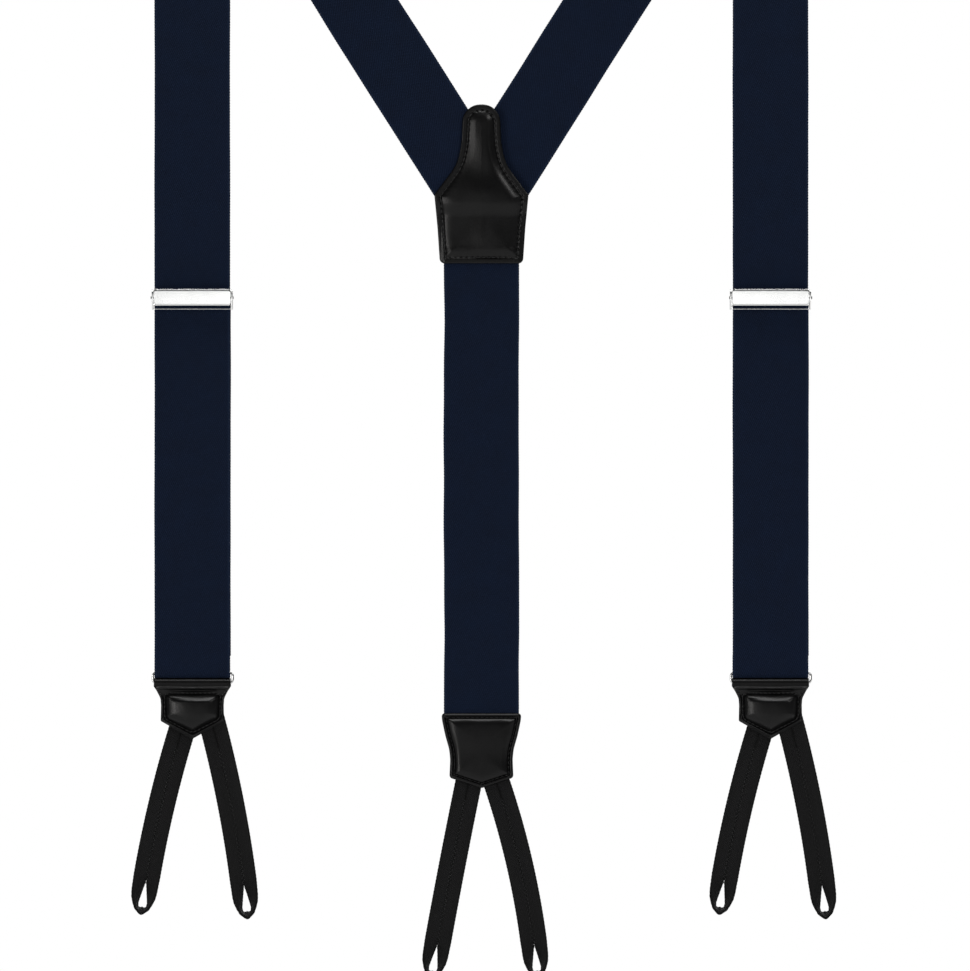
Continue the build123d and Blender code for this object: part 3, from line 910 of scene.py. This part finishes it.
def make_patch():
    """The two padded faces of the back patch, with the webbing ends sewn between them."""
    crossing_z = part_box("left_shoulder_strap")[0].z + 3.0 * MM
    ridge_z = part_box("patch_outer_leather")[0].z + 6.2 * MM

    def relief(flat, inside, facing):
        x, z = flat[:, 0], flat[:, 1]
        field = inside - PATCH_GROOVE
        cloud = 0.3 * MM * np.sin(x * 240 + 1.0) * np.sin(z * 150 + facing)
        ridge = 0.45 * MM * bump_at(z - ridge_z, 1.3 * MM)
        hump = 0.95 * MM * bump_at(np.hypot(x / (8.5 * MM), (z - crossing_z) / (7.0 * MM)), 1)
        rise = MM * (0.40 + 0.70 * smoothstep(x, -8 * MM, 5 * MM))
        height = rim_and_pad(inside, PATCH_THICK, PATCH_GROOVE, rise, 0.42 * MM, 4.0 * MM, 1.2 * MM)
        height += cloud * smoothstep(field, 0.5 * MM, 5 * MM)
        return height + (ridge * smoothstep(field, 0, 2 * MM) + hump * smoothstep(field, 0, 6 * MM))

    sewn_pair(
        "harness", "patch", "patch_filler", PATCH_SIDE, 0.45 * MM, spine=(17 * MM, 9 * MM),
        groove=PATCH_GROOVE, stitch=(2.75 * MM, 2.0 * MM, 0.27 * MM), base=patch_stack, relief=relief,
        prick=0.5 * MM, fill=0.5,
    )


BACK_TAB_SIDE = [
    (20.0, 0.8, 1.6), (19.9, 4.0, 20.0), (18.2, 12.0, 60.0), (16.2, 19.0, 20.0), (15.7, 24.0, 20.0),
    (16.1, 33.2, 1.8),
]
BACK_TAB_GROOVE = 2.2 * MM


def make_back_tab():
    """The two padded faces of the back tab."""
    low_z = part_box("back_tab_outer_leather")[0].z
    dent_z = low_z + 17 * MM

    def base(flat):
        over_webbing = 1 - smoothstep(np.abs(flat[:, 0]), WEB_HALF, WEB_HALF + 1.2 * MM)
        return np.maximum(over_webbing * (WEB_THICK / 2 + 0.02 * MM), 0.08 * MM)

    def relief(flat, inside, facing):
        pad = rim_and_pad(
            inside, BACK_TAB_THICK, BACK_TAB_GROOVE, 0.95 * MM, 0.85 * MM, 2.6 * MM, 1.1 * MM, bead=0.42 * MM
        )
        dent = 0.35 * MM * bump_at(flat[:, 1] - dent_z, 6 * MM) * smoothstep(inside, BACK_TAB_GROOVE, 7 * MM)
        return pad - dent

    sewn_pair(
        "back_tab", "back_tab", "back_tab_spacer", BACK_TAB_SIDE, 0.5 * MM, spine=(14 * MM, 14 * MM),
        groove=BACK_TAB_GROOVE, stitch=(2.5 * MM, 1.9 * MM, 0.24 * MM), base=base, relief=relief,
        prick=0.3 * MM, fill=0.6, tip_z=low_z, tip_radius=3.0 * MM,
    )


# the front tab, from the lower wire's middle: half width, drop
TAB_SIDE = [(19.2, 0.0), (19.3, 1.6), (18.5, 2.9), (17.0, 5.2), (15.9, 8.0), (15.65, 11.0), (15.8, 19.0)]
TAB_TIP_HALF = 0.6
# the same and corner radius
TAB_FACE_SIDE = [(18.9, 1.4, 0.8), (18.3, 3.0, 8.0), (15.8, 7.8, 6.0), (15.3, 11.0, 20.0), (15.4, 18.8, 1.3)]
TAB_FIELD_SIDE = [(13.5, 5.5, 1.6), (13.3, 17.6, 3.0)]
TAB_PITCH = 2.3 * MM
FLAP_IN = 1.40 * MM
FLAP_THICK = 1.1 * MM
FLAP_OUT = FLAP_IN + FLAP_THICK


def make_front_tab(side):
    """Leather folded over the ring's lower wire, a padded face sewn on its front and a plain back."""
    body = side + "_tab"
    ring_y = middle_of(side + "_tab_ring").y
    wire_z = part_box(side + "_tab_ring")[0].z + WIRE_R
    fold_low, fold_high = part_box(side + "_tab_fold")
    x = (fold_low.x + fold_high.x) / 2
    drop = wire_z - fold_low.z
    halves, drops = (np.array(TAB_SIDE + [(TAB_TIP_HALF, 0)]) * MM).T
    drops[-1] = drop

    def pinch(across, z):
        """How far the flaps come together near their sewn edges."""
        below = wire_z - z
        near_side = 1 - smoothstep(np.interp(below, drops, halves) - np.abs(across), 1.5 * MM, 4.5 * MM)
        above_tapes = 1 - smoothstep(below, 15.0 * MM, 18.5 * MM)
        share = 0.50 + 0.68 * near_side * above_tapes + 0.16 * (1 - above_tapes)
        return smoothstep(below, 1.5 * MM, 5.0 * MM) * MM * share

    radius = FLAP_IN + FLAP_THICK / 2
    down = np.arange(drop, 0, -0.5 * MM)
    points = [(ring_y - radius, wire_z - d) for d in down]
    points += arc_over(ring_y, wire_z, radius, np.linspace(0, math.pi, 15))
    points += [(ring_y + radius, wire_z - d) for d in down[::-1]]
    line = np.array(points)
    half = np.interp(np.clip(wire_z - line[:, 1], 0, drop), drops, halves)
    fold = side_strip(side + "_tab_fold_leather", line, x, LEATHER, half, FLAP_THICK, edge=0.3 * MM)
    co = np.array([v.co for v in fold.data.vertices])
    shift = pinch(co[:, 0] - x, co[:, 2])
    co[:, 1] += np.where(co[:, 1] < ring_y, shift, -shift)
    fold.data.vertices.foreach_set("co", co.astype(np.float32).ravel())
    fold.data.update()
    finish_piece(fold, body=body, replaces=[side + "_tab_fold", side + "_tab_spacer"])

    outline = face_outline(TAB_FACE_SIDE, wire_z, 0.45 * MM, fold_low.z + 0.5 * MM, 2 * MM)
    field = face_outline(TAB_FIELD_SIDE, wire_z, 0.45 * MM, fold_low.z + 3.2 * MM, 4 * MM)
    band_z = wire_z - 2.55 * MM
    field_z = wire_z - 13.0 * MM
    sewn = closed_line(field, -0.5 * MM)
    spots = prick_spots(sewn, TAB_PITCH)

    def back(flat, inside, facing):
        return FLAP_OUT - ring_y - pinch(flat[:, 0], flat[:, 1]) * 0.98 - 0.05 * MM

    def front(flat, inside, facing):
        z = flat[:, 1]
        in_field = edge_distance(flat, field) * np.where(inside_of(flat, field), 1, -1)
        depth_in = np.clip(in_field, 0, None)
        relief = edge_round(inside, 0.85 * MM, 0.7 * MM, 0.4)
        relief += 1.05 * MM * bump_at(z - band_z, 0.55 * MM)
        relief += 0.42 * MM * bump_at(inside - 0.75 * MM, 0.55 * MM) * smoothstep(band_z - z, 0, 4 * MM)
        relief -= 0.70 * MM * bump_at(in_field + 0.55 * MM, 0.70 * MM)
        across = (flat[:, 0] - 3.0 * MM) / (16.5 * MM)
        down = (z - field_z) / (14.0 * MM)
        swell = 2.8 * MM * np.clip(1 - across ** 2, 0, 1) * np.clip(1 - down ** 2, 0, 1)
        relief += 1.0 * MM * smoothstep(depth_in, 0, 1.8 * MM) + swell * smoothstep(depth_in, 0, 4.0 * MM)
        return back(flat, inside, facing) + relief - 0.3 * MM * pricked(flat, spots)

    spine = (fold_low.z + 14 * MM, wire_z - 9 * MM)
    face = panel(side + "_tab_face_leather", outline, spine, -1, front, back, place_x=x)
    finish_piece(face, body=body, replaces=[side + "_tab_face"])

    behind_y = ring_y + FLAP_OUT - pinch(sewn[:, 0], sewn[:, 1])
    rows = [
        stitch_path(sewn, -front(sewn, edge_distance(sewn, outline), -1), -1, x),
        stitch_path(sewn, behind_y, 1, x),
    ]
    thread = stitching(side + "_tab_stitching", rows, TAB_PITCH, 1.75 * MM, 0.22 * MM)
    finish_piece(thread, body=body)


def inside_of(points, outline):
    """Which points lie inside an outline, by counting the edges to their right."""
    x, z = points[:, 0], points[:, 1]
    crossings = np.zeros(len(points), int)
    for a, b in zip(outline, np.roll(outline, -1, axis=0)):
        if abs(b[1] - a[1]) < 1e-12:
            continue
        spans = (a[1] > z) != (b[1] > z)
        at_x = a[0] + (z - a[1]) / (b[1] - a[1]) * (b[0] - a[0])
        crossings += spans & (x < at_x)
    return crossings % 2 == 1


# ---- runner loops

TAPE_HELD = 12.5 * MM
TURN_HEIGHT = 4.6 * MM
TURN_LOW = 2.3 * MM
# height above the loop's lowest point, the tape's outer edge, its inner edge at the slit
SLIT = MM * np.array([
    (4.6, 4.4, 1.78), (6.0, 5.2, 1.9), (9.0, 6.3, 1.36), (12.0, 6.72, 0.82), (14.5, 6.78, 0.36),
    (16.5, 6.72, 0.02), (18.0, 6.68, -0.02),
])


def make_loop(name, loop, tab_x, y, flex_z, tab_body, loop_body, replaces):
    """A braided tape that goes down, turns on edge round the button slit and comes up beside itself."""
    offset, lean_top, lean_bottom, length = loop
    offset, length = offset * MM, length * MM
    start = math.radians(lean_top)
    bend = (math.radians(lean_bottom) - start) / length

    def place(u, v):
        lean = start + bend * u
        x = tab_x + offset - (np.cos(start) - np.cos(lean)) / bend
        z = flex_z - (np.sin(lean) - np.sin(start)) / bend
        return x + v * np.cos(lean), z - v * np.sin(lean)

    top_u, turn_u = length - 20 * MM, length - TURN_HEIGHT
    down = np.concatenate([np.arange(-TAPE_HELD, top_u, 0.5 * MM), np.linspace(top_u, turn_u, 46)])
    heights, outers, inners = SLIT.T
    outer = np.interp(length - down, heights, outers)
    inner = np.interp(length - down, heights, inners)
    turn = np.linspace(0, math.pi, 22)[1:-1]
    turn_half = (outer[-1] + inner[-1]) / 2
    turn_shown = (outer[-1] - inner[-1]) / 2
    turn_shown = turn_shown - 0.12 * MM * np.sin(turn) + 1.08 * MM * np.sin(turn) ** 6
    turn_v = -turn_half * np.sign(np.cos(turn)) * np.abs(np.cos(turn)) ** 1.4
    turn_line = length - TURN_HEIGHT + (TURN_HEIGHT - TURN_LOW) * np.sin(turn)
    u = np.concatenate([down, turn_line, down[::-1]])
    v = np.concatenate([-(outer + inner) / 2, turn_v, (outer[::-1] + inner[::-1]) / 2])
    shown = np.concatenate([(outer - inner) / 2, turn_shown, (outer[::-1] - inner[::-1]) / 2])
    # the tape stands more and more on edge as less of its width shows
    corner = math.atan2(TAPE_THICK / 2, TAPE_HALF)
    reach = math.hypot(TAPE_THICK / 2, TAPE_HALF)
    eased = 1 - smoothstep(length - u, 15.0 * MM, 21.0 * MM)
    twist = (corner + np.arccos(np.clip(shown / reach, 0, 1))) * eased
    px, pz = place(u, v)
    centre = columns(px, y, pz)
    tangent = unit(np.gradient(centre, axis=0))
    depth = np.array([0, 1.0, 0])
    outwards = unit(np.cross(tangent, depth))
    width = outwards * np.cos(twist)[:, None] + depth * np.sin(twist)[:, None]
    normal = np.cross(width, tangent)
    run = arc_length(centre)
    half = TAPE_HALF + 0.06 * MM * (1 + np.sin(2 * math.pi * run / EDGE_STRAND))
    piece = strip(name, centre, width, normal, BRAID, half, TAPE_THICK, edge=0.7 * MM)
    blend = (tab_body, loop_body, (tab_x, y, flex_z), (tab_x, y, flex_z - 28 * MM))
    finish_piece(piece, blend=blend, replaces=replaces)

    seam_u = np.arange(4.0 * MM, length - 16.0 * MM, 1.1 * MM)
    seam_v = 0.85 * MM * np.where(np.arange(len(seam_u)) % 2, 1, -1)
    seam = columns(*place(seam_u, seam_v))
    sunk_y = TAPE_THICK / 2 - 0.08 * MM
    rows = [stitch_path(seam, y + facing * sunk_y, facing) for facing in (-1, 1)]
    thread = stitching(name + "_seam", rows, 1.39 * MM, 1.2 * MM, 0.13 * MM)
    finish_piece(thread, blend=blend)


def make_loops():
    tabs = [(side, "_tab_fold", FRONT_LOOPS) for side in SIDES] + [("back", "_tab_inner_leather", BACK_LOOPS)]
    for side, leather, loops in tabs:
        low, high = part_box(side + leather)
        tab, tapes = side + "_tab", side + "_tab_tapes"
        for which, loop in loops.items():
            node = side + "_tab_loop_" + which
            make_loop(
                node + "_tape", loop, (low.x + high.x) / 2, middle_of(tapes).y, low.z - FLEX_BELOW_TIP,
                tab, side + "_loop_" + which, [node, tapes],
            )


# ---- adjuster and ring

def swept_profile(name, profile, x0, x1, corner):
    """A bar along X with a closed (y, z) profile, its ends rounded as seen from the front."""
    profile = np.asarray(profile, float)
    low_z, high_z = profile[:, 1].min(), profile[:, 1].max()
    middle_z, half_z = (high_z + low_z) / 2, (high_z - low_z) / 2
    corner = min(corner, 0.9 * half_z, 0.45 * (x1 - x0))
    near = np.array([0.0, 0.12, 0.35, 0.65, 1.0]) * corner
    lost = corner - np.sqrt(corner ** 2 - (corner - near) ** 2)
    ends = list(zip(near, 1 - lost / half_z))
    stations = [(x0 + t, tall) for t, tall in ends]
    stations += [(x, 1.0) for x in np.linspace(x0 + corner, x1 - corner, 16)[1:-1]]
    stations += [(x1 - t, tall) for t, tall in ends[::-1]]
    verts, uvs = [], []
    for x, tall in stations:
        for y, z in profile:
            verts.append((x, y, middle_z + (z - middle_z) * tall))
            uvs.append((x / MM, z / MM))
    piece = add_piece(name, verts, tube_faces(len(stations), len(profile)), uvs, PLATED)
    piece.data.set_sharp_from_angle(angle=math.radians(35))
    return piece


EAR_THICK = 0.6 * MM


def make_frame(side):
    """The adjuster's frame: two rounded ears, the plate behind the webbing, the lip under the lever."""
    low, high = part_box(side + "_adjuster_frame")
    pin = middle_of(side + "_adjuster_pin")
    ear_profile = rounded(
        [(low.y, pin.z - 2.2 * MM), (low.y + 2.2 * MM, low.z), (high.y, low.z), (high.y, pin.z - 1.2 * MM),
         (high.y - 3.4 * MM, high.z), (low.y, high.z)],
        np.array([1.2, 1.2, 1.3, 1.5, 1.5, 2.0]) * MM,
    )
    pieces = []
    for x0, x1 in ((low.x, low.x + EAR_THICK), (high.x - EAR_THICK, high.x)):
        pieces.append(swept_profile("ear", ear_profile, x0, x1, 0.2 * MM))
    # the plate behind, then the lip: y from and to, z from and to, corner radius
    plate = (pin.y + 4.55 * MM, pin.y + 5.25 * MM, pin.z - 2.8 * MM, pin.z + 3.6 * MM, 0.25 * MM)
    lip = (pin.y + 1.35 * MM, pin.y + 1.9 * MM, low.z + 0.05 * MM, low.z + 0.38 * MM, 0.15 * MM)
    reach = EAR_THICK * 0.8
    for y0, y1, z0, z1, radius in (plate, lip):
        profile = rounded([(y0, z0), (y1, z0), (y1, z1), (y0, z1)], [radius] * 4)
        pieces.append(swept_profile("cross_bar", profile, low.x + reach, high.x - reach, 0.1 * MM))
    joined = join(side + "_frame", pieces)
    finish_piece(joined, body=side + "_adjuster", replaces=[side + "_adjuster_frame"])


PLATE_THICK = 0.8 * MM
PLATE_CROWN = 0.04 * MM
PLATE_ROLL = 0.18 * MM
PLATE_LIP = 1.5 * MM
KNUCKLE_R = 1.12 * MM
KNUCKLE_BORE = 0.62 * MM
TOOTH_PITCH = 2.2 * MM
TOOTH_COUNT = 16
TOOTH_HALF = 0.75 * MM
# y and z from the pin's middle
TOOTH = [(0.1, -0.75), (0.95, -0.45), (2.7, -0.95), (1.8, -1.9)]


def make_lever(side):
    """The adjuster's flip lever: a crowned plate with rolled edges, its knuckle and its toothed cam."""
    low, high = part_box(side + "_adjuster_lever")
    pin = middle_of(side + "_adjuster_pin")
    face_y = low.y + PLATE_CROWN
    back_y = face_y + PLATE_THICK
    lip_y = face_y + PLATE_LIP
    middle_z, half_z = (low.z + high.z) / 2, (high.z - low.z) / 2
    zs = np.linspace(low.z + PLATE_ROLL, high.z - PLATE_ROLL, 9)
    outer = [(face_y - PLATE_CROWN * (1 - ((z - middle_z) / half_z) ** 2), z) for z in zs]
    turns = np.linspace(0.2, 1.57, 6)
    roll = [(face_y + PLATE_ROLL * (1 - math.cos(a)), PLATE_ROLL * (1 - math.sin(a))) for a in turns]
    profile = [(y, low.z + z) for y, z in roll[::-1]] + outer + [(y, high.z - z) for y, z in roll]
    profile += [(lip_y, high.z), (lip_y, high.z - 0.5 * MM), (back_y, high.z - 0.85 * MM)]
    profile += [(back_y, low.z + 0.85 * MM), (lip_y, low.z + 0.5 * MM), (lip_y, low.z)]
    plate = swept_profile(side + "_lever_plate", profile, low.x, high.x, 0.9 * MM)

    verts, faces = [], []
    turns = np.linspace(0, 2 * math.pi, 25)[:-1]
    for end in (low.x + 0.2 * MM, high.x - 0.2 * MM):
        for radius in (KNUCKLE_R, KNUCKLE_BORE):
            verts += [(end, pin.y + radius * math.cos(a), pin.z + radius * math.sin(a)) for a in turns]
    n = len(turns)
    for k in range(n):
        m = (k + 1) % n
        for a, b in ((0, 2 * n), (n, 3 * n), (0, n), (2 * n, 3 * n)):
            faces.append((a + k, a + m, b + m, b + k))
    uvs = [(0, 0)] * len(verts)
    knuckle = add_piece(side + "_lever_knuckle", verts, faces, uvs, PLATED, smooth=False)

    web_back, web_front = back_y - 0.1 * MM, pin.y - KNUCKLE_BORE - 0.1 * MM
    web_profile = [(web_back, pin.z - 0.7 * MM), (web_back, pin.z + 0.7 * MM),
                   (web_front, pin.z + 0.6 * MM), (web_front, pin.z - 0.6 * MM)]
    web = swept_profile(side + "_lever_web", web_profile, low.x + 0.6 * MM, high.x - 0.6 * MM, 0.3 * MM)
    tooth_profile = [(pin.y + y * MM, pin.z + z * MM) for y, z in TOOTH]
    first = (low.x + high.x) / 2 - TOOTH_PITCH * (TOOTH_COUNT - 1) / 2
    teeth = []
    for x in first + TOOTH_PITCH * np.arange(TOOTH_COUNT):
        teeth.append(swept_profile("tooth", tooth_profile, x - TOOTH_HALF, x + TOOTH_HALF, 0.2 * MM))
    lever = join(side + "_lever", [plate, knuckle, web] + teeth)
    finish_piece(lever, body=side + "_lever", replaces=[side + "_adjuster_lever"])


def finish_hardware():
    """Plated and wire finishes for the CAD nodes that are shown as they are."""
    finishes = {"_adjuster_bar": PLATED, "_adjuster_pin": DARK, "_tab_ring": WIRE}
    for side in SIDES:
        for suffix, material in finishes.items():
            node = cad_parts[side + suffix]
            node.data.materials.clear()
            node.data.materials.append(material)


make_stage()
for side_name, side_sign in SIDES.items():
    make_side_webbing(side_name, side_sign)
    make_return_webbing(side_name)
    make_front_tab(side_name)
    make_frame(side_name)
    make_lever(side_name)
make_stem()
make_patch()
make_back_tab()
make_loops()
finish_hardware()
